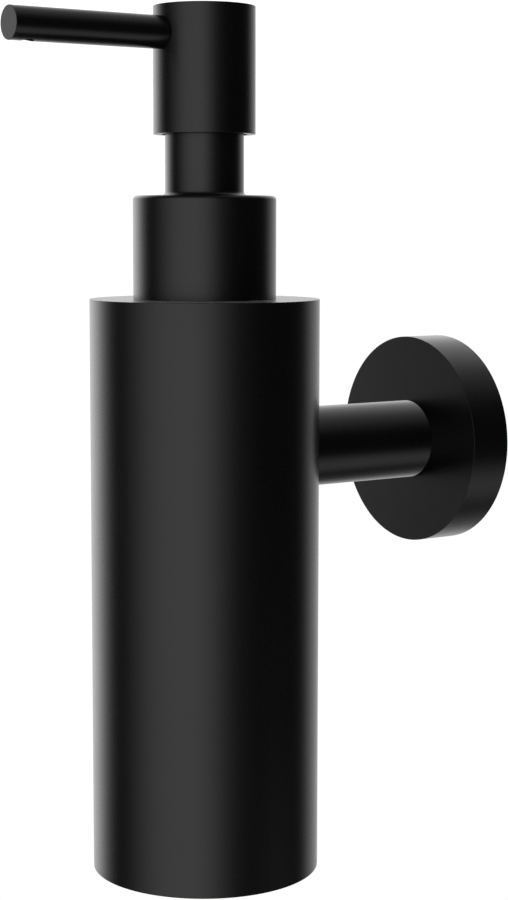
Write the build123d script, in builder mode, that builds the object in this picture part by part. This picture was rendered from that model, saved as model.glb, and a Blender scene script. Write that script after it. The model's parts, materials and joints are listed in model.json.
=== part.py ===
"""Wall mounted soap dispenser: a steel bottle on a round wall arm, with a press-down pump.

The origin is the centre of the rosette's back face, on the wall. +Z is up, the wall is
at y = 0 and the dispenser stands out towards -Y. All sizes are in millimetres.
"""

from build123d import *
import os
from math import radians, sin, sqrt, tan

# ---------------------------------------------------------------- driving dimensions
# Bottle
bottle_diameter = 50.0
bottle_height = 126.0
bottle_wall = 1.2
deck_thickness = 1.5
base_thickness = 1.2
base_recess = 1.5
base_rim_height = 5.0
wall_to_axis = 67.0
arm_below_deck = 34.0

# Wall fixing
rosette_diameter = 48.0
rosette_depth = 10.0
rosette_front_wall = 2.2
rosette_skirt_wall = 2.5
plate_thickness = 6.0
plate_floor = 1.2
plate_chamfer = 0.3
screw_hole_diameter = 4.5
screw_head_diameter = 9.0
groove_depth = 1.0
groove_floor_width = 2.8
groove_from_wall = 3.0
grub_diameter = 4.0
grub_tip_diameter = 2.4
grub_recess = 0.3
grub_socket_width = 2.0
grub_socket_depth = 1.8

# Arm, its bolt and the boss that the bolt screws into
arm_diameter = 18.0
bolt_diameter = 6.0
bolt_head_diameter = 10.5
bolt_head_height = 3.3
bolt_head_rounding = 2.0
bolt_socket_width = 4.0
bolt_socket_depth = 2.2
bolt_tip_chamfer = 0.6
bolt_tip_room = 1.5
washer_thickness = 1.0
washer_width = 2.3
boss_diameter = 12.0
boss_length = 8.0
boss_floor = 1.2

# Pump cylinder, guide bush, piston and stem
cylinder_bore = 11.0
cylinder_wall = 1.0
cylinder_depth = 20.0
shoulder_thickness = 1.4
housing_flange_thickness = 1.4
vent_diameter = 1.2
bush_plug_length = 10.0
bush_flange_thickness = 1.6
snap_depth = 0.25
snap_below_flange = 6.0
press_stroke = 11.5
piston_height = 6.0
piston_waist = 0.6
piston_lip_height = 1.3
stem_diameter = 5.2
stem_bore = 3.0
spigot_diameter = 3.8
spigot_bore = 2.4
spigot_bead = 0.3
spigot_bead_height = 0.8

# Check valves
inlet_ball_diameter = 4.8
inlet_ball_travel = 1.5
inlet_port_diameter = 3.0
inlet_port_length = 2.0
inlet_nub_reach = 0.3
inlet_nub_height = 0.8
inlet_nub_width = 1.4
outlet_ball_diameter = 3.8
outlet_ball_travel = 1.3
outlet_cage_diameter = 5.0
outlet_cage_roof = 0.8
outlet_slot_width = 1.0

# Dip tube
dip_tube_diameter = 5.5
dip_tube_wall = 0.8
dip_socket_depth = 8.0
dip_socket_wall = 1.3
dip_tube_gap = 4.0
dip_tube_cut_angle = 45.0

# Spring
spring_wire = 0.8
spring_turns = 6

# Neck, gasket, closure and collar
neck_height = 16.0
neck_wall = 2.2
neck_flange_width = 2.4
neck_flange_thickness = 1.2
thread_depth = 1.2
thread_root_sink = 0.2
thread_root_width = 2.0
thread_crest_width = 0.9
thread_pitch = 3.0
thread_turns = 3
thread_start = 3.5
gasket_thickness = 1.0
nut_wall = 2.4
nut_top_thickness = 2.2
nut_lift = 0.8
collar_wall = 1.45
collar_top_thickness = 1.6
collar_lift = 0.02
collar_top_radius = 0.9

# Sleeve that rises from the collar, head and spout
hub_wall = 2.4
sleeve_wall = 1.5
sleeve_root_radius = 1.0
sleeve_overlap = 3.6
head_wall = 1.7
head_top_thickness = 2.0
insert_floor = 1.6
spout_diameter = 7.0
spout_wall = 0.9
spout_end_wall = 1.5
spout_reach = 47.0
spout_root = 4.0
spout_below_top = 6.0
liner_wall = 0.9
outlet_diameter = 2.8
outlet_from_tip = 4.2

# Clearances, each on the radius or along the axis that it names
running_clearance = 0.05
bolt_clearance = 0.2
boss_clearance = 0.1
boss_end_clearance = 0.3
plate_clearance = 0.3
pocket_clearance = 1.55
cage_clearance = 0.6
neck_clearance = 1.5
gasket_clearance = 0.45
nut_clearance = 0.25
head_clearance = 0.8
hub_clearance = 2.0
hub_floor_clearance = 0.6
bush_flange_clearance = 0.2
sleeve_top_clearance = 0.8
stroke_spare = 1.6
edge_break = 0.06
radius_tolerance = 0.01

# ---------------------------------------------------------------- radii that follow
bottle_r = bottle_diameter / 2
bottle_inner_r = bottle_r - bottle_wall

rosette_r = rosette_diameter / 2
skirt_inner_r = rosette_r - rosette_skirt_wall
plate_r = skirt_inner_r - plate_clearance
groove_floor_r = plate_r - groove_depth
pocket_r = bolt_head_diameter / 2 + pocket_clearance
screw_offset = (pocket_r + groove_floor_r) / 2
grub_r = grub_diameter / 2
grub_tip_r = grub_tip_diameter / 2

arm_r = arm_diameter / 2
bolt_r = bolt_diameter / 2
bolt_hole_r = bolt_r + bolt_clearance
boss_r = boss_diameter / 2

cylinder_r = cylinder_bore / 2
housing_r = cylinder_r + cylinder_wall
plug_r = cylinder_r - running_clearance
stem_r = stem_diameter / 2
stem_bore_r = stem_bore / 2
spigot_r = spigot_diameter / 2
inlet_ball_r = inlet_ball_diameter / 2
inlet_port_r = inlet_port_diameter / 2
inlet_cage_r = inlet_ball_r + cage_clearance
inlet_nub_r = inlet_ball_r - inlet_nub_reach
outlet_ball_r = outlet_ball_diameter / 2
outlet_cage_r = outlet_cage_diameter / 2
dip_tube_r = dip_tube_diameter / 2
dip_tube_bore_r = dip_tube_r - dip_tube_wall
dip_socket_r = dip_tube_r + dip_socket_wall
spring_r = (spigot_r + spigot_bead + plug_r) / 2

neck_bore_r = housing_r + neck_clearance
neck_r = neck_bore_r + neck_wall
thread_r = neck_r + thread_depth
nut_bore_r = thread_r + nut_clearance
nut_r = nut_bore_r + nut_wall
collar_r = nut_r + collar_wall
gasket_r = nut_bore_r - gasket_clearance

hub_r = stem_r + hub_wall
sleeve_bore_r = hub_r + hub_clearance
sleeve_r = sleeve_bore_r + sleeve_wall
head_bore_r = sleeve_r + head_clearance
head_r = head_bore_r + head_wall
spout_r = spout_diameter / 2
spout_bore_r = spout_r - spout_wall
liner_r = spout_bore_r - running_clearance
liner_bore_r = liner_r - liner_wall
outlet_r = outlet_diameter / 2

# ------------------------------------------------- distances from the wall that follow
rosette_inside = rosette_depth - rosette_front_wall
bolt_head_seat = rosette_inside - washer_thickness
bottle_back = wall_to_axis - bottle_r
boss_end = bottle_back - boss_length
boss_hole_end = bottle_back - boss_floor

# ---------------------------------------------------------------- heights that follow
deck_z = arm_below_deck
bottle_bottom_z = deck_z - bottle_height
deck_underside_z = deck_z - deck_thickness
base_z = bottle_bottom_z + base_recess
base_top_z = base_z + base_thickness

neck_top_z = deck_z + neck_height
gasket_top_z = neck_top_z + gasket_thickness
housing_top_z = gasket_top_z + housing_flange_thickness
nut_top_z = housing_top_z + nut_top_thickness
collar_top_z = nut_top_z + collar_top_thickness
bush_top_z = housing_top_z + bush_flange_thickness
bush_bottom_z = housing_top_z - bush_plug_length
snap_z = housing_top_z - snap_below_flange
piston_bottom_z = bush_bottom_z - piston_height
vent_z = piston_bottom_z + piston_height / 2

head_bottom_z = collar_top_z + press_stroke + stroke_spare
sleeve_top_z = head_bottom_z + sleeve_overlap
insert_bottom_z = sleeve_top_z + press_stroke + sleeve_top_clearance
spout_z = insert_bottom_z + insert_floor + spout_r
head_top_z = spout_z + spout_below_top
insert_top_z = head_top_z - head_top_thickness
hub_bottom_z = bush_top_z + press_stroke + hub_floor_clearance

# The inlet ball rests on a 45 degree cone and is stopped by nubs above it.
inlet_contact = inlet_ball_r * sin(radians(45))
inlet_nub_rise = sqrt(inlet_ball_r**2 - inlet_nub_r**2) + inlet_ball_travel + running_clearance
shoulder_z = deck_z - cylinder_depth
inlet_nub_z = shoulder_z - inlet_nub_height - inlet_nub_reach
inlet_ball_z = inlet_nub_z - inlet_nub_rise
inlet_seat_z = inlet_ball_z - 2 * inlet_contact + inlet_port_r
dip_tube_top_z = inlet_seat_z - inlet_port_length
dip_socket_z = dip_tube_top_z - dip_socket_depth
dip_tube_bottom_z = base_top_z + dip_tube_gap
dip_tube_cut_z = dip_tube_bottom_z + dip_tube_r * tan(radians(dip_tube_cut_angle))

# The outlet ball rests on the rim of the stem's bore and is stopped by the rim of its cage's roof.
outlet_ball_rise = sqrt(outlet_ball_r**2 - stem_bore_r**2)
outlet_roof_z = spout_z - liner_bore_r - outlet_cage_roof
outlet_ball_z = outlet_roof_z - outlet_ball_rise - outlet_ball_travel - running_clearance
stem_top_z = outlet_ball_z - outlet_ball_rise

pump_axis = Axis((0, -wall_to_axis, 0), (0, 0, 1))
section_plane = Plane((0, -wall_to_axis, 0), x_dir=(1, 0, 0), z_dir=(0, -1, 0))


def level(z):
    """Horizontal plane on the bottle's axis at height z."""
    return Plane((0, -wall_to_axis, z))


def off_wall(distance):
    """Upright plane on the arm's axis, this far from the wall and facing away from it."""
    return Plane.XZ.offset(distance)


def off_axis(distance, height):
    """Upright plane at this height, this far from the bottle's axis and facing away from the wall."""
    return Plane((0, -wall_to_axis - distance, height), x_dir=(1, 0, 0), z_dir=(0, -1, 0))


def circles(part, radius):
    """The part's circular edges of this radius, lowest first."""
    found = part.edges().filter_by(GeomType.CIRCLE)
    return found.filter_by(lambda edge: abs(edge.radius - radius) < radius_tolerance).sort_by(Axis.Z)


# ---------------------------------------------------------------- wall fixing
with BuildPart() as wall_plate:
    with BuildSketch(off_wall(0)):
        Circle(plate_r)
    extrude(amount=plate_thickness)
    chamfer(wall_plate.edges().sort_by(Axis.Y)[0], plate_chamfer)
    with BuildSketch(off_wall(plate_floor)):
        Circle(pocket_r)
    extrude(amount=plate_thickness - plate_floor, mode=Mode.SUBTRACT)
    with Locations(off_wall(plate_thickness)):
        with GridLocations(2 * screw_offset, 0, 2, 1):
            CounterSinkHole(screw_hole_diameter / 2, screw_head_diameter / 2)
    with BuildSketch():
        with BuildLine():
            Polyline(
                (groove_floor_r, -groove_from_wall - groove_floor_width / 2),
                (groove_floor_r, -groove_from_wall + groove_floor_width / 2),
                (plate_r, -groove_from_wall + groove_floor_width / 2 + groove_depth),
                (plate_r, -groove_from_wall - groove_floor_width / 2 - groove_depth),
                close=True,
            )
        make_face()
    revolve(axis=Axis.Y, mode=Mode.SUBTRACT)

with BuildPart() as rosette:
    with BuildSketch(off_wall(0)):
        Circle(rosette_r)
    extrude(amount=rosette_depth)
    fillet(rosette.edges().sort_by(Axis.Y)[0], edge_break)
    with BuildSketch(off_wall(0)):
        Circle(skirt_inner_r)
    extrude(amount=rosette_inside, mode=Mode.SUBTRACT)
    with BuildSketch(off_wall(rosette_inside)):
        Circle(bolt_hole_r)
    extrude(amount=rosette_front_wall, mode=Mode.SUBTRACT)
    with BuildSketch(Plane((0, -groove_from_wall, -rosette_r))):
        Circle(grub_r + running_clearance)
    extrude(amount=rosette_r - groove_floor_r, mode=Mode.SUBTRACT)

with BuildPart() as rosette_grub_screw:
    with BuildSketch(Plane((0, -groove_from_wall, -rosette_r + grub_recess))):
        Circle(grub_r)
    extrude(amount=rosette_r - grub_recess - groove_floor_r)
    chamfer(rosette_grub_screw.edges().sort_by(Axis.Z)[-1], grub_r - grub_tip_r)
    with BuildSketch(Plane((0, -groove_from_wall, -rosette_r + grub_recess))):
        RegularPolygon(grub_socket_width / 2, 6, major_radius=False)
    extrude(amount=grub_socket_depth, mode=Mode.SUBTRACT)

# ---------------------------------------------------------------- arm and its bolt
with BuildPart() as arm:
    with BuildSketch(off_wall(rosette_depth)):
        Circle(arm_r)
        Circle(bolt_hole_r, mode=Mode.SUBTRACT)
    extrude(amount=wall_to_axis - rosette_depth)
    with BuildSketch(off_wall(boss_end - boss_end_clearance)):
        Circle(boss_r + boss_clearance)
    extrude(amount=wall_to_axis - boss_end, mode=Mode.SUBTRACT)
    with BuildSketch(level(-arm_diameter)):
        Circle(bottle_r)
    extrude(amount=2 * arm_diameter, mode=Mode.SUBTRACT)

with BuildPart() as bottle_boss:
    with BuildSketch(off_wall(boss_end)):
        Circle(boss_r)
    extrude(amount=wall_to_axis - boss_end)
    with BuildSketch(off_wall(boss_end)):
        Circle(bolt_r + running_clearance)
    extrude(amount=boss_length - boss_floor, mode=Mode.SUBTRACT)
    with BuildSketch(level(-boss_diameter)):
        Circle(bottle_r)
    extrude(amount=2 * boss_diameter, mode=Mode.SUBTRACT)

with BuildPart() as arm_washer:
    with BuildSketch(off_wall(bolt_head_seat)):
        Circle(bolt_hole_r + washer_width)
        Circle(bolt_hole_r, mode=Mode.SUBTRACT)
    extrude(amount=washer_thickness)

with BuildPart() as arm_bolt:
    with BuildSketch(off_wall(bolt_head_seat)):
        Circle(bolt_head_diameter / 2)
    extrude(amount=-bolt_head_height)
    fillet(arm_bolt.edges().sort_by(Axis.Y)[-1], bolt_head_rounding)
    with BuildSketch(off_wall(bolt_head_seat - bolt_head_height)):
        RegularPolygon(bolt_socket_width / 2, 6, major_radius=False)
    extrude(amount=bolt_socket_depth, mode=Mode.SUBTRACT)
    with BuildSketch(off_wall(bolt_head_seat)):
        Circle(bolt_r)
    extrude(amount=boss_hole_end - bolt_tip_room - bolt_head_seat)
    chamfer(arm_bolt.edges().sort_by(Axis.Y)[0], bolt_tip_chamfer)

# ---------------------------------------------------------------- bottle
with BuildPart() as bottle_shell:
    with BuildSketch(level(bottle_bottom_z)):
        Circle(bottle_r)
        Circle(bottle_inner_r, mode=Mode.SUBTRACT)
    extrude(amount=bottle_height)
    fillet(circles(bottle_shell, bottle_r), edge_break)

with BuildPart() as bottle_base:
    with BuildSketch(level(base_z)):
        Circle(bottle_inner_r)
    extrude(amount=base_rim_height)
    with BuildSketch(level(base_top_z)):
        Circle(bottle_inner_r - base_thickness)
    extrude(amount=base_rim_height, mode=Mode.SUBTRACT)

with BuildPart() as top_plate:
    with BuildSketch(level(deck_underside_z)):
        Circle(bottle_inner_r)
        Circle(neck_r, mode=Mode.SUBTRACT)
    extrude(amount=deck_thickness)


def thread_ridge():
    """One trapezoid ridge that winds up the neck, its root sunk a little into the neck's wall."""
    root_r = neck_r - thread_root_sink
    with BuildPart() as ridge:
        with BuildLine() as path:
            Helix(thread_pitch, thread_pitch * thread_turns, root_r)
        with BuildSketch(Plane.XZ):
            with BuildLine():
                Polyline(
                    (root_r, -thread_root_width / 2),
                    (thread_r, -thread_crest_width / 2),
                    (thread_r, thread_crest_width / 2),
                    (root_r, thread_root_width / 2),
                    close=True,
                )
            make_face()
        sweep(path=path.line, is_frenet=True)
    return ridge.part


with BuildPart() as bottle_neck:
    with BuildSketch(level(deck_underside_z - neck_flange_thickness)):
        Circle(neck_r + neck_flange_width)
    extrude(amount=neck_flange_thickness)
    with BuildSketch(level(deck_underside_z)):
        Circle(neck_r)
    extrude(amount=deck_thickness + neck_height)
    with Locations(level(deck_z + thread_start)):
        add(thread_ridge())
    with BuildSketch(level(deck_underside_z - neck_flange_thickness)):
        Circle(neck_bore_r)
    extrude(amount=neck_flange_thickness + deck_thickness + neck_height, mode=Mode.SUBTRACT)

# ---------------------------------------------------------------- pump: the fixed pieces
with BuildPart() as neck_gasket:
    with BuildSketch(level(neck_top_z)):
        Circle(gasket_r)
        Circle(neck_bore_r, mode=Mode.SUBTRACT)
    extrude(amount=gasket_thickness)

with BuildPart() as pump_housing:
    with BuildSketch(section_plane):
        with BuildLine():
            Polyline(
                (cylinder_r, housing_top_z),
                (gasket_r, housing_top_z),
                (gasket_r, gasket_top_z),
                (housing_r, gasket_top_z),
                (housing_r, shoulder_z - shoulder_thickness),
                (dip_socket_r, shoulder_z - shoulder_thickness),
                (dip_socket_r, dip_socket_z),
                (dip_tube_r, dip_socket_z),
                (dip_tube_r, dip_tube_top_z),
                (inlet_port_r, dip_tube_top_z),
                (inlet_port_r, inlet_seat_z),
                (inlet_cage_r, inlet_seat_z + inlet_cage_r - inlet_port_r),
                (inlet_cage_r, shoulder_z),
                (cylinder_r, shoulder_z),
                (cylinder_r, snap_z - snap_depth),
                (cylinder_r + snap_depth, snap_z),
                (cylinder_r, snap_z + snap_depth),
                close=True,
            )
        make_face()
    revolve(axis=pump_axis)
    with BuildSketch(level(inlet_nub_z)):
        with PolarLocations(inlet_nub_r, 3):
            Rectangle(inlet_cage_r, inlet_nub_width, align=(Align.MIN, Align.CENTER))
        Circle(inlet_cage_r + cylinder_wall / 2, mode=Mode.INTERSECT)
    extrude(amount=inlet_nub_height)
    with BuildSketch(Plane((0, -wall_to_axis, vent_z), x_dir=(0, 1, 0), z_dir=(1, 0, 0))):
        Circle(vent_diameter / 2)
    extrude(amount=2 * housing_r, mode=Mode.SUBTRACT)

with BuildPart() as guide_bush:
    with BuildSketch(section_plane):
        with BuildLine():
            Polyline(
                (stem_r + running_clearance, bush_bottom_z),
                (plug_r, bush_bottom_z),
                (plug_r, snap_z - snap_depth),
                (plug_r + snap_depth, snap_z),
                (plug_r, snap_z + snap_depth),
                (plug_r, housing_top_z),
                (sleeve_bore_r - bush_flange_clearance, housing_top_z),
                (sleeve_bore_r - bush_flange_clearance, bush_top_z),
                (stem_r + running_clearance, bush_top_z),
                close=True,
            )
        make_face()
    revolve(axis=pump_axis)

with BuildPart() as dip_tube:
    with BuildSketch(level(dip_tube_bottom_z)):
        Circle(dip_tube_r)
        Circle(dip_tube_bore_r, mode=Mode.SUBTRACT)
    extrude(amount=dip_tube_top_z - dip_tube_bottom_z)
    split(bisect_by=level(dip_tube_cut_z).rotated((dip_tube_cut_angle, 0, 0)))

with BuildPart() as inlet_ball:
    with Locations(level(inlet_ball_z)):
        Sphere(inlet_ball_r)

# ---------------------------------------------------------------- closure
with BuildPart() as closure_nut:
    with BuildSketch(level(deck_z + nut_lift)):
        Circle(nut_r)
    extrude(amount=nut_top_z - deck_z - nut_lift)
    with BuildSketch(level(deck_z + nut_lift)):
        Circle(nut_bore_r)
    extrude(amount=housing_top_z - deck_z - nut_lift, mode=Mode.SUBTRACT)
    with BuildSketch(level(housing_top_z)):
        Circle(sleeve_bore_r)
    extrude(amount=nut_top_thickness, mode=Mode.SUBTRACT)

with BuildPart() as collar_shell:
    with BuildSketch(level(deck_z + collar_lift)):
        Circle(collar_r)
    extrude(amount=collar_top_z - deck_z - collar_lift)
    with BuildSketch(level(collar_top_z)):
        Circle(sleeve_r)
    extrude(amount=sleeve_top_z - collar_top_z)
    fillet(circles(collar_shell, collar_r)[-1], collar_top_radius)
    fillet(circles(collar_shell, sleeve_r)[0], sleeve_root_radius)
    chamfer(circles(collar_shell, sleeve_r)[-1], edge_break)
    with BuildSketch(level(deck_z + collar_lift)):
        Circle(nut_r)
    extrude(amount=nut_top_z - deck_z - collar_lift, mode=Mode.SUBTRACT)
    with BuildSketch(level(nut_top_z)):
        Circle(sleeve_bore_r)
    extrude(amount=sleeve_top_z - nut_top_z, mode=Mode.SUBTRACT)

# ---------------------------------------------------------------- pump: the moving pieces
with BuildPart() as piston:
    with BuildSketch(section_plane):
        with BuildLine():
            Polyline(
                (spigot_r + running_clearance, piston_bottom_z),
                (plug_r, piston_bottom_z),
                (plug_r, piston_bottom_z + piston_lip_height),
                (plug_r - piston_waist, piston_bottom_z + piston_lip_height + piston_waist),
                (plug_r - piston_waist, bush_bottom_z - piston_lip_height - piston_waist),
                (plug_r, bush_bottom_z - piston_lip_height),
                (plug_r, bush_bottom_z),
                (spigot_r + running_clearance, bush_bottom_z),
                close=True,
            )
        make_face()
    revolve(axis=pump_axis)

with BuildPart() as stem:
    with BuildSketch(section_plane):
        with BuildLine():
            Polyline(
                (stem_bore_r, stem_top_z),
                (stem_r, stem_top_z),
                (stem_r, bush_bottom_z),
                (spigot_r, bush_bottom_z),
                (spigot_r, piston_bottom_z - running_clearance),
                (spigot_r + spigot_bead, piston_bottom_z - running_clearance),
                (spigot_r, piston_bottom_z - spigot_bead_height),
                (spigot_bore / 2, piston_bottom_z - spigot_bead_height),
                (spigot_bore / 2, bush_bottom_z),
                (stem_bore_r, bush_bottom_z + stem_bore_r),
                close=True,
            )
        make_face()
    revolve(axis=pump_axis)


def spring_coil(height):
    """Wire wound between two closed end rings, standing on the ground plane."""
    wire_r = spring_wire / 2
    wound_height = height - spring_wire
    with BuildPart() as coil:
        with BuildLine() as path:
            Helix(wound_height / spring_turns, wound_height, spring_r, center=(0, 0, wire_r))
        with BuildSketch(Plane(path.line @ 0, z_dir=path.line % 0)):
            Circle(wire_r)
        sweep(path=path.line, is_frenet=True)
        with Locations((0, 0, wire_r), (0, 0, height - wire_r)):
            Torus(spring_r, wire_r)
    return coil.part


with BuildPart() as return_spring:
    with Locations(level(shoulder_z)):
        add(spring_coil(piston_bottom_z - shoulder_z))

with BuildPart() as outlet_ball:
    with Locations(level(outlet_ball_z)):
        Sphere(outlet_ball_r)

# ---------------------------------------------------------------- head and spout
with BuildPart() as head_insert:
    with BuildSketch(level(insert_bottom_z)):
        Circle(head_bore_r)
    extrude(amount=insert_top_z - insert_bottom_z)
    with BuildSketch(level(hub_bottom_z)):
        Circle(hub_r)
    extrude(amount=insert_bottom_z - hub_bottom_z)
    with BuildSketch(level(hub_bottom_z)):
        Circle(stem_r)
    extrude(amount=stem_top_z - hub_bottom_z, mode=Mode.SUBTRACT)
    with BuildSketch(level(stem_top_z)):
        Circle(outlet_cage_r)
    extrude(amount=outlet_roof_z - stem_top_z, mode=Mode.SUBTRACT)
    with BuildSketch(level(outlet_roof_z)):
        Circle(stem_bore_r)
        Rectangle(2 * outlet_cage_r, outlet_slot_width)
    extrude(amount=spout_z - outlet_roof_z, mode=Mode.SUBTRACT)
    with BuildSketch(off_axis(-outlet_cage_r, spout_z)):
        Circle(liner_bore_r)
    extrude(amount=outlet_cage_r + spout_root, mode=Mode.SUBTRACT)
    with BuildSketch(off_axis(spout_root, spout_z)):
        Circle(spout_r)
    extrude(amount=head_bore_r, mode=Mode.SUBTRACT)

with BuildPart() as head_shell:
    with BuildSketch(level(head_bottom_z)):
        Circle(head_r)
    extrude(amount=head_top_z - head_bottom_z)
    fillet(circles(head_shell, head_r), edge_break)
    with BuildSketch(level(head_bottom_z)):
        Circle(head_bore_r)
    extrude(amount=insert_top_z - head_bottom_z, mode=Mode.SUBTRACT)
    with BuildSketch(off_axis(spout_root, spout_z)):
        Circle(spout_r)
    extrude(amount=head_r, mode=Mode.SUBTRACT)

with BuildPart() as spout:
    with BuildSketch(off_axis(spout_root, spout_z)):
        Circle(spout_r)
    extrude(amount=spout_reach - spout_root)
    chamfer(spout.edges().sort_by(Axis.Y)[0], edge_break)
    with BuildSketch(off_axis(spout_root, spout_z)):
        Circle(spout_bore_r)
    extrude(amount=spout_reach - spout_end_wall - spout_root, mode=Mode.SUBTRACT)
    with BuildSketch(Plane((0, -wall_to_axis - spout_reach + outlet_from_tip, spout_z))):
        Circle(outlet_r)
    extrude(amount=-spout_diameter, mode=Mode.SUBTRACT)

with BuildPart() as spout_liner:
    with BuildSketch(off_axis(spout_root, spout_z)):
        Circle(liner_r)
        Circle(liner_bore_r, mode=Mode.SUBTRACT)
    extrude(amount=spout_reach - spout_end_wall - running_clearance - spout_root)
    with BuildSketch(Plane((0, -wall_to_axis - spout_reach + outlet_from_tip, spout_z))):
        Circle(outlet_r)
    extrude(amount=-spout_diameter, mode=Mode.SUBTRACT)

# ---------------------------------------------------------------- files
pieces = {
    "wall_plate": wall_plate,
    "rosette": rosette,
    "rosette_grub_screw": rosette_grub_screw,
    "arm": arm,
    "arm_bolt": arm_bolt,
    "arm_washer": arm_washer,
    "bottle_boss": bottle_boss,
    "bottle_shell": bottle_shell,
    "bottle_base": bottle_base,
    "top_plate": top_plate,
    "bottle_neck": bottle_neck,
    "neck_gasket": neck_gasket,
    "pump_housing": pump_housing,
    "guide_bush": guide_bush,
    "dip_tube": dip_tube,
    "inlet_ball": inlet_ball,
    "closure_nut": closure_nut,
    "collar_shell": collar_shell,
    "piston": piston,
    "stem": stem,
    "return_spring": return_spring,
    "outlet_ball": outlet_ball,
    "head_insert": head_insert,
    "head_shell": head_shell,
    "spout": spout,
    "spout_liner": spout_liner,
}
os.makedirs("parts", exist_ok=True)
for name, piece in pieces.items():
    piece.part.label = name
    export_step(piece.part, f"parts/{name}.step")
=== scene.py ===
"""Studio scene for the wall mounted soap dispenser.

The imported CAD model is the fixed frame, in metres, with the wall at y = 0 and +Z up. This file
gives its nodes their finishes, winds the return spring, and adds the floor, the light and the camera.
"""

import bmesh
import bpy
import json
from math import cos, pi, radians, sin
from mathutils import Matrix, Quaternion, Vector


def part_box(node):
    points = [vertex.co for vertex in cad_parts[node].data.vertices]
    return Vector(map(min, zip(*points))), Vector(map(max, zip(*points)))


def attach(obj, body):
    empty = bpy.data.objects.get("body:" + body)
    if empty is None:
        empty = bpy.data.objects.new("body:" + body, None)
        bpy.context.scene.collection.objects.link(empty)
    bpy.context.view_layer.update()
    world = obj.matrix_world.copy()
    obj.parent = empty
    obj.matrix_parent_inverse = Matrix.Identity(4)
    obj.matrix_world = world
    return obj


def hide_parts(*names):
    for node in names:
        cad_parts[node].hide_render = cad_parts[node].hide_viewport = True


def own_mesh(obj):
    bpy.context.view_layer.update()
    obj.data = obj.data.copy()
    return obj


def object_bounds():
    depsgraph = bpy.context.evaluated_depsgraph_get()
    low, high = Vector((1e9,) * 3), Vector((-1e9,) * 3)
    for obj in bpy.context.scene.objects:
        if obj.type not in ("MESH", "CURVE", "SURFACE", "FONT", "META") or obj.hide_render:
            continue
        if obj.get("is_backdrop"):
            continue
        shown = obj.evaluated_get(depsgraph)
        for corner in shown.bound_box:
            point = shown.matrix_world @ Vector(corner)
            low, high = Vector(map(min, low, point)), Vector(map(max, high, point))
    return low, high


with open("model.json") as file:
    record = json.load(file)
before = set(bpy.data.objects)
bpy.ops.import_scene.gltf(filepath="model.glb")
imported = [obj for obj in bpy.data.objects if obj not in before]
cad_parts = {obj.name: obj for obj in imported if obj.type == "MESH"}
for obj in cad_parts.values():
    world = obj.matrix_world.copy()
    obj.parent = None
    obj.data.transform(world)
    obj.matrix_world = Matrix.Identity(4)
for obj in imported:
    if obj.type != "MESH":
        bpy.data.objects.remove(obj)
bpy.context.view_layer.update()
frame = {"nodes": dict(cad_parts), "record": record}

# The camera looks yaw degrees to the left of +Y and pitch degrees down. Its image is 508 x 900.
CAMERA_PLACE = Vector((0.3571, -0.3022, 0.0501))
CAMERA_YAW = 55.19
CAMERA_PITCH = 6.56
CAMERA_ROLL = 0.07
CAMERA_LENS = 78.52
CAMERA_SENSOR = 36.0


# ------------------------------------------------------------------ shader nodes
# The middle of a noise's spread, in which most of its values lie
NOISE_LOW, NOISE_HIGH = 0.3, 0.7

# Shares of open sky at which a surface counts as deep in a hole, and as open
SHUT_IN, OPEN = 0.3, 0.95
OPENNESS_RAYS = 16


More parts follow.
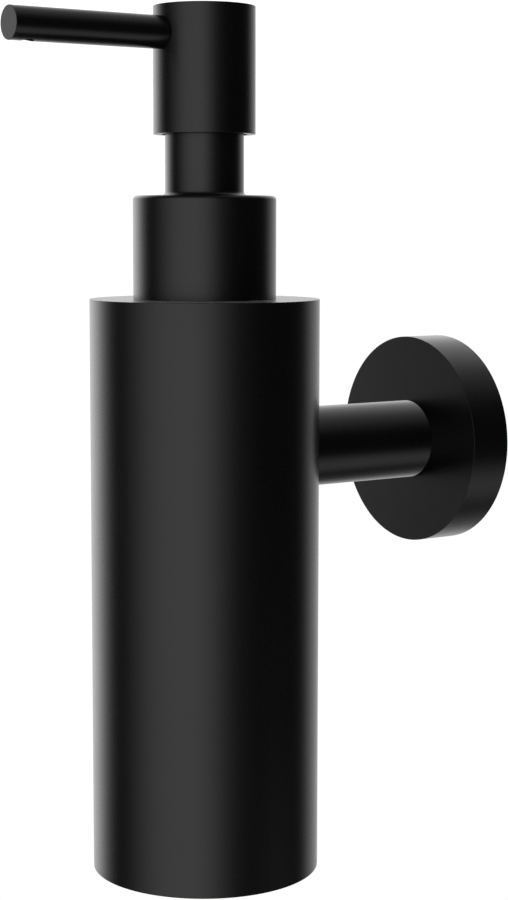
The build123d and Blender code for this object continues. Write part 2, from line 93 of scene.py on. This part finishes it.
class Graph:
    """Adds nodes to one material or world, and links them."""

    def __init__(self, owner):
        owner.use_nodes = True
        self.tree = owner.node_tree
        self.tree.nodes.clear()

    def add(self, kind, settings=None, **inputs):
        """A node of this kind. Its inputs are given by name, or by number as i0, i1 and so on."""
        node = self.tree.nodes.new(kind)
        for key, value in (settings or {}).items():
            setattr(node, key, value)
        for key, value in inputs.items():
            numbered = key[0] == "i" and key[1:].isdigit()
            self.feed(node.inputs[int(key[1:]) if numbered else key], value)
        return node

    def feed(self, socket, value):
        """Links the value to the socket if it is a socket too, or else sets it there."""
        if isinstance(value, bpy.types.NodeSocket):
            self.tree.links.new(value, socket)
        else:
            socket.default_value = value

    def math(self, operation, first, second=0.0):
        node = self.add("ShaderNodeMath", {"operation": operation}, i0=first, i1=second)
        return node.outputs[0]

    def ease(self, value, start, end, low=0.0, high=1.0):
        """Smooth step of value from low at start to high at end."""
        settings = {"interpolation_type": "SMOOTHSTEP"}
        node = self.add("ShaderNodeMapRange", settings, i0=value, i1=start, i2=end, i3=low, i4=high)
        return node.outputs[0]

    def spread(self, noise, low, high):
        """Maps the middle of a noise's spread to low..high."""
        node = self.add("ShaderNodeMapRange", i0=noise, i1=NOISE_LOW, i2=NOISE_HIGH, i3=low, i4=high)
        return node.outputs[0]

    def place(self):
        """Where on its piece a point lies, in metres."""
        return self.add("ShaderNodeTexCoord").outputs["Object"]

    def noise(self, place, scale, detail=2.0, roughness=0.5):
        node = self.add("ShaderNodeTexNoise", Vector=place, Scale=scale, Detail=detail, Roughness=roughness)
        return node.outputs[0]

    def blend(self, factor, first, second):
        """Mix of two colours, each three numbers or another node's colour."""
        first, second = ((*color, 1) if isinstance(color, tuple) else color for color in (first, second))
        node = self.add("ShaderNodeMix", {"data_type": "RGBA"}, i0=factor, i6=first, i7=second)
        return node.outputs[2]

    def bump(self, texture, height, normal=None):
        """Normal of a surface that the texture raises by up to height, on top of another if given."""
        node = self.add("ShaderNodeBump", Height=texture, Distance=height)
        if normal is not None:
            self.feed(node.inputs["Normal"], normal)
        return node.outputs[0]

    def openness(self, reach):
        """1 on a piece's open surface, falling to 0 in its own holes of about this reach."""
        settings = {"only_local": True, "samples": OPENNESS_RAYS}
        node = self.add("ShaderNodeAmbientOcclusion", settings, Distance=reach)
        return self.ease(node.outputs["AO"], SHUT_IN, OPEN)

    def rays(self, *kinds):
        """1 for rays of any of these kinds, 0 for the rest."""
        path = self.add("ShaderNodeLightPath")
        found = 0.0
        for kind in kinds:
            found = self.math("MAXIMUM", path.outputs[f"Is {kind} Ray"], found)
        return found

    def surface(self, color, roughness, normal, **constants):
        """The material's shader and output. A constant's name has _ for each space."""
        shader = self.add("ShaderNodeBsdfPrincipled", Roughness=roughness, Normal=normal)
        self.feed(shader.inputs["Base Color"], color)
        for name, value in constants.items():
            shader.inputs[name.replace("_", " ")].default_value = value
        self.add("ShaderNodeOutputMaterial", Surface=shader.outputs[0])


# ------------------------------------------------------------------ finishes
# Noise scales are in features a metre, heights in metres.
COAT_DARK = (0.0006, 0.0006, 0.0007)
COAT_PALE = (0.0013, 0.0013, 0.0014)
BLACK = (0.0, 0.0, 0.0)


def black_coat(name, sheen=0.0):
    """Satin black powder coat: a fine orange peel with a finer grain on it. A sheen above 0 is a painted
    highlight that lightens it at grazing angles.
    """
    material = bpy.data.materials.new(name)
    g = Graph(material)
    place = g.place()
    cloud = g.noise(place, scale=55.0, detail=3.0)
    peel = g.noise(place, scale=1700.0)
    grain = g.noise(place, scale=6500.0, detail=1.0)
    color = g.blend(g.spread(grain, 0.0, 1.0), COAT_DARK, COAT_PALE)
    rough = g.math("ADD", g.spread(cloud, 0.27, 0.29), g.spread(grain, -0.02, 0.02))
    peeled = g.bump(peel, height=0.00001)
    normal = g.bump(grain, height=0.000003, normal=peeled)
    g.surface(color, rough, normal, Sheen_Weight=sheen, Sheen_Roughness=0.3)
    return material


def metal(name, colors, roughness, stretch, height, hole_reach=None):
    """Bare metal in a patchy mix of two colours, with fine lines or casting skin in its roughness.

    stretch holds the lines' scale along each axis, so that they read as turned or cast, and
    height is how deep they are. In holes of about hole_reach the colour is darkened: painted shade.
    """
    material = bpy.data.materials.new(name)
    g = Graph(material)
    squeezed = g.add("ShaderNodeMapping", Vector=g.place(), Scale=stretch).outputs[0]
    lines = g.noise(squeezed, scale=1.0, detail=4.0, roughness=0.6)
    patch = g.noise(g.place(), scale=160.0, detail=3.0)
    color = g.blend(g.spread(patch, 0.0, 1.0), *colors)
    # Painted shade: the colour goes to black deep in the piece's own holes
    if hole_reach:
        color = g.blend(g.openness(hole_reach), BLACK, color)
    rough = g.math("ADD", g.spread(lines, *roughness), g.spread(patch, -0.04, 0.04))
    g.surface(color, rough, g.bump(lines, height), Metallic=1.0)
    return material


def plastic(name, colors, roughness, height, **constants):
    """Moulded plastic: a faint flow pattern between two colours, and a satin skin of this height."""
    material = bpy.data.materials.new(name)
    g = Graph(material)
    place = g.place()
    flow = g.noise(place, scale=90.0, detail=3.0)
    skin = g.noise(place, scale=3200.0)
    color = g.blend(g.spread(flow, 0.0, 1.0), *colors)
    g.surface(color, g.spread(skin, *roughness), g.bump(skin, height), **constants)
    return material


finishes = {
    "black_coat": black_coat("black_coat"),
    "cast_zinc": metal(
        "cast_zinc",
        colors=((0.42, 0.43, 0.44), (0.56, 0.57, 0.58)),
        roughness=(0.42, 0.6),
        stretch=(900.0, 900.0, 900.0),
        height=0.00004,
        hole_reach=0.006,
    ),
    "bolt_steel": metal(
        "bolt_steel",
        colors=((0.5, 0.5, 0.51), (0.62, 0.62, 0.63)),
        roughness=(0.25, 0.38),
        stretch=(1400.0, 2600.0, 1400.0),
        height=0.00001,
    ),
    "stainless": metal(
        "stainless",
        colors=((0.54, 0.54, 0.55), (0.64, 0.64, 0.65)),
        roughness=(0.2, 0.34),
        stretch=(300.0, 300.0, 5000.0),
        height=0.000006,
    ),
    "black_plastic": plastic(
        "black_plastic",
        colors=((0.012, 0.012, 0.012), (0.02, 0.02, 0.021)),
        roughness=(0.42, 0.55),
        height=0.00001,
    ),
    "white_plastic": plastic(
        "white_plastic",
        colors=((0.76, 0.76, 0.73), (0.83, 0.83, 0.81)),
        roughness=(0.32, 0.42),
        height=0.000008,
    ),
    "tube_plastic": plastic(
        "tube_plastic",
        colors=((0.84, 0.86, 0.86), (0.9, 0.91, 0.91)),
        roughness=(0.12, 0.2),
        height=0.000003,
        Transmission_Weight=0.75,
    ),
    "gasket_foam": plastic(
        "gasket_foam",
        colors=((0.68, 0.68, 0.65), (0.78, 0.78, 0.76)),
        roughness=(0.7, 0.85),
        height=0.00003,
    ),
}
for part in frame["record"]["subparts"]:
    node = frame["nodes"][part["node"]]
    node.data.materials.clear()
    node.data.materials.append(finishes[part["material_slot"]])

# Painted highlight: only the deck gets a sheen, which lightens it at grazing angles in front of the collar
frame["nodes"]["top_plate"].data.materials[0] = black_coat("black_coat_deck", sheen=0.09)

# The arm and the bottle mirror the studio, and not the rosette or what it covers
for name in ("rosette", "wall_plate", "rosette_grub_screw"):
    frame["nodes"][name].visible_glossy = False


# ------------------------------------------------------------------ return spring
WIRE_DIAMETER = 0.0008
OPEN_TURNS = 6
STEPS_PER_TURN = 48
STEPS_AROUND_WIRE = 12


def wire_spring(name, foot, top_z, outer_radius):
    """Round wire wound with one closed turn at each end, from the point foot up to top_z."""
    wire_radius = WIRE_DIAMETER / 2
    closed_height = 3 * WIRE_DIAMETER
    pitch = (top_z - foot.z - closed_height) / OPEN_TURNS
    mesh = bmesh.new()
    rings = []
    for step in range((OPEN_TURNS + 2) * STEPS_PER_TURN + 1):
        turns = step / STEPS_PER_TURN
        open_turns = min(max(turns - 1, 0), OPEN_TURNS)
        rise = (turns - open_turns) * WIRE_DIAMETER + open_turns * pitch
        slope = WIRE_DIAMETER if open_turns in (0, OPEN_TURNS) else pitch
        angle = 2 * pi * turns
        outward = Vector((cos(angle), sin(angle), 0))
        along = Vector((-sin(angle), cos(angle), slope / (2 * pi * outer_radius))).normalized()
        upward = outward.cross(along)
        centre = foot + outward * (outer_radius - wire_radius) + Vector((0, 0, wire_radius + rise))
        ring = []
        for spoke in range(STEPS_AROUND_WIRE):
            around = 2 * pi * spoke / STEPS_AROUND_WIRE
            from_centre = (outward * cos(around) + upward * sin(around)) * wire_radius
            ring.append(mesh.verts.new(centre + from_centre))
        rings.append(ring)
    for ring, following in zip(rings, rings[1:]):
        for spoke in range(STEPS_AROUND_WIRE):
            beside = (spoke + 1) % STEPS_AROUND_WIRE
            mesh.faces.new((ring[spoke], following[spoke], following[beside], ring[beside]))
    mesh.faces.new(rings[0])
    mesh.faces.new(rings[-1][::-1])
    bmesh.ops.recalc_face_normals(mesh, faces=mesh.faces)
    data = bpy.data.meshes.new(name)
    mesh.to_mesh(data)
    mesh.free()
    data.shade_smooth()
    spring = bpy.data.objects.new(name, data)
    bpy.context.scene.collection.objects.link(spring)
    return spring


spring_low, spring_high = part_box("return_spring")
spring_foot = Vector(((spring_low.x + spring_high.x) / 2, (spring_low.y + spring_high.y) / 2, spring_low.z))
spring = wire_spring("return_spring_wire", spring_foot, spring_high.z, (spring_high.x - spring_low.x) / 2)
spring.data.materials.append(finishes["stainless"])
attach(spring, "pump")
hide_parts("return_spring")
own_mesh(spring)


# ------------------------------------------------------------------ floor
FLOOR_DROP = 0.5
FLOOR_RADIUS = 0.38
FLOOR_CORNERS = 96
FLOOR_GLOW = 0.28
FLOOR_DARK = (0.83, 0.83, 0.83)
FLOOR_PALE = (0.86, 0.86, 0.86)


def floor_paint():
    """Matt off-white, a little mottled, that fades to clear over the floor's outer half."""
    material = bpy.data.materials.new("floor_paint")
    g = Graph(material)
    place = g.place()
    reach = g.add("ShaderNodeVectorMath", {"operation": "LENGTH"}, i0=place).outputs["Value"]
    mottle = g.spread(g.noise(place, scale=30.0, detail=3.0), 0.0, 1.0)
    paint = g.add("ShaderNodeBsdfDiffuse", Color=g.blend(mottle, FLOOR_DARK, FLOOR_PALE))
    pale = g.math("MULTIPLY", g.rays("Camera", "Glossy", "Transmission"), FLOOR_GLOW)
    glow = g.add("ShaderNodeEmission", Strength=pale)
    lit = g.add("ShaderNodeAddShader", i0=paint.outputs[0], i1=glow.outputs[0])
    clear = g.add("ShaderNodeBsdfTransparent")
    fade = g.ease(reach, FLOOR_RADIUS / 2, FLOOR_RADIUS)
    both = g.add("ShaderNodeMixShader", i0=fade, i1=lit.outputs[0], i2=clear.outputs[0])
    g.add("ShaderNodeOutputMaterial", Surface=both.outputs[0])
    return material


def floor_disc():
    """A pale round floor well below the dispenser, centred under it."""
    low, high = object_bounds()
    middle = (0, (low.y + high.y) / 2, low.z - FLOOR_DROP)
    bpy.ops.mesh.primitive_circle_add(
        vertices=FLOOR_CORNERS, radius=FLOOR_RADIUS, fill_type="NGON", location=middle)
    floor = bpy.context.object
    floor.name = "floor"
    floor.data.materials.append(floor_paint())
    return floor


floor_disc()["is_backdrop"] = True


# ------------------------------------------------------------------ light
# side is 0 towards the camera and grows to the camera's right, height is above the horizon. Both
# are in degrees. A span fades in over its first two angles and out over its last two. A flag's
# strength is below 0: it takes away some of the light behind it.
CEILING_SPAN = (10.0, 90.0)
CEILING_LEVELS = (0.02, 0.14)
FRONT_HEIGHT = (-60.0, -25.0, 0.0, 65.0)
LOW_HEIGHT = (-75.0, -52.0, -38.0, -14.0)
FLAG_HEIGHT = (-45.0, -25.0, 8.0, 28.0)
FILL_LAMP_SPREAD = 120.0


def studio_world():
    """Soft boxes around the dispenser, with dark flags between them, on a plain white background."""
    world = bpy.data.worlds.new("studio")
    bpy.context.scene.world = world
    g = Graph(world)
    way = g.add("ShaderNodeTexCoord").outputs["Generated"]
    turned = g.add("ShaderNodeVectorRotate", {"rotation_type": "Z_AXIS"}, Vector=way,
                   Angle=radians(90 - CAMERA_YAW)).outputs[0]
    axes = g.add("ShaderNodeSeparateXYZ", i0=turned)
    side = g.math("DEGREES", g.math("ARCTAN2", axes.outputs[1], axes.outputs[0]))
    height = g.math("DEGREES", g.math("ARCSINE", axes.outputs[2]))
    around = g.math("ABSOLUTE", side)

    def between(value, out_low, full_low, full_high, out_high):
        risen, fallen = g.ease(value, out_low, full_low), g.ease(value, full_high, out_high, 1.0, 0.0)
        return g.math("MULTIPLY", risen, fallen)

    def box(strength, across, upward):
        return g.math("MULTIPLY", g.math("MULTIPLY", across, upward), strength)

    front = box(1.06, between(side, -96.0, -35.0, -10.0, 36.0), between(height, *FRONT_HEIGHT))
    front_centre = box(0.1, between(side, -60.0, 0.0, 25.0, 60.0), between(height, *FRONT_HEIGHT))
    left = box(1.3, between(side, -180.0, -136.0, -132.0, -98.0), between(height, -36.0, -6.0, 20.0, 50.0))
    back_flag = box(-0.3, between(around, 120.0, 142.0, 146.0, 162.0), between(height, *FLAG_HEIGHT))
    back = box(1.0, g.ease(around, 114.0, 143.0), between(height, -56.0, -25.0, 30.0, 65.0))
    back_strip = box(0.5, g.ease(around, 140.0, 165.0), between(height, 4.0, 10.0, 20.0, 32.0))
    high_right = box(0.34, g.ease(side, 40.0, 110.0), between(height, 22.0, 58.0, 60.0, 80.0))
    low_right = box(0.6, between(side, 40.0, 78.0, 84.0, 118.0), between(height, *LOW_HEIGHT))

    level = g.ease(height, *CEILING_SPAN, *CEILING_LEVELS)
    for light in (front, front_centre, left, back_flag, back, back_strip, high_right, low_right):
        level = g.math("ADD", level, light)
    strength = g.math("MAXIMUM", level, g.rays("Camera", "Transmission"))
    background = g.add("ShaderNodeBackground", Color=(1, 1, 1, 1), Strength=strength)
    g.add("ShaderNodeOutputWorld", Surface=background.outputs[0])


def fill_lamp(name, side, height, strength):
    """A wide soft lamp far away, at this side and height, that metal and gloss don't mirror."""
    lamp = bpy.data.lights.new(name, "SUN")
    lamp.energy = strength * pi
    lamp.angle = radians(FILL_LAMP_SPREAD)
    holder = bpy.data.objects.new(name, lamp)
    bpy.context.scene.collection.objects.link(holder)
    turn, rise = radians(CAMERA_YAW + side), radians(height)
    towards_lamp = Vector((sin(turn) * cos(rise), -cos(turn) * cos(rise), sin(rise)))
    holder.rotation_euler = towards_lamp.to_track_quat("Z", "Y").to_euler()
    holder.visible_glossy = False


studio_world()
fill_lamp("fill_left", side=-50.0, height=25.0, strength=0.2)
fill_lamp("fill_right", side=60.0, height=25.0, strength=0.34)
fill_lamp("fill_top", side=0.0, height=90.0, strength=0.16)
fill_lamp("fill_low", side=20.0, height=-50.0, strength=0.22)


# ------------------------------------------------------------------ camera
yaw, pitch = radians(CAMERA_YAW), radians(CAMERA_PITCH)
forward = Vector((-sin(yaw) * cos(pitch), cos(yaw) * cos(pitch), -sin(pitch)))
camera = bpy.data.objects.new("camera", bpy.data.cameras.new("camera"))
bpy.context.scene.collection.objects.link(camera)
camera.data.sensor_width = CAMERA_SENSOR
camera.data.lens = CAMERA_LENS
camera.location = CAMERA_PLACE
camera.rotation_mode = "QUATERNION"
camera.rotation_quaternion = forward.to_track_quat("-Z", "Y") @ Quaternion((0, 0, 1), radians(CAMERA_ROLL))
bpy.context.scene.camera = camera
bpy.context.scene.view_settings.view_transform = "Standard"
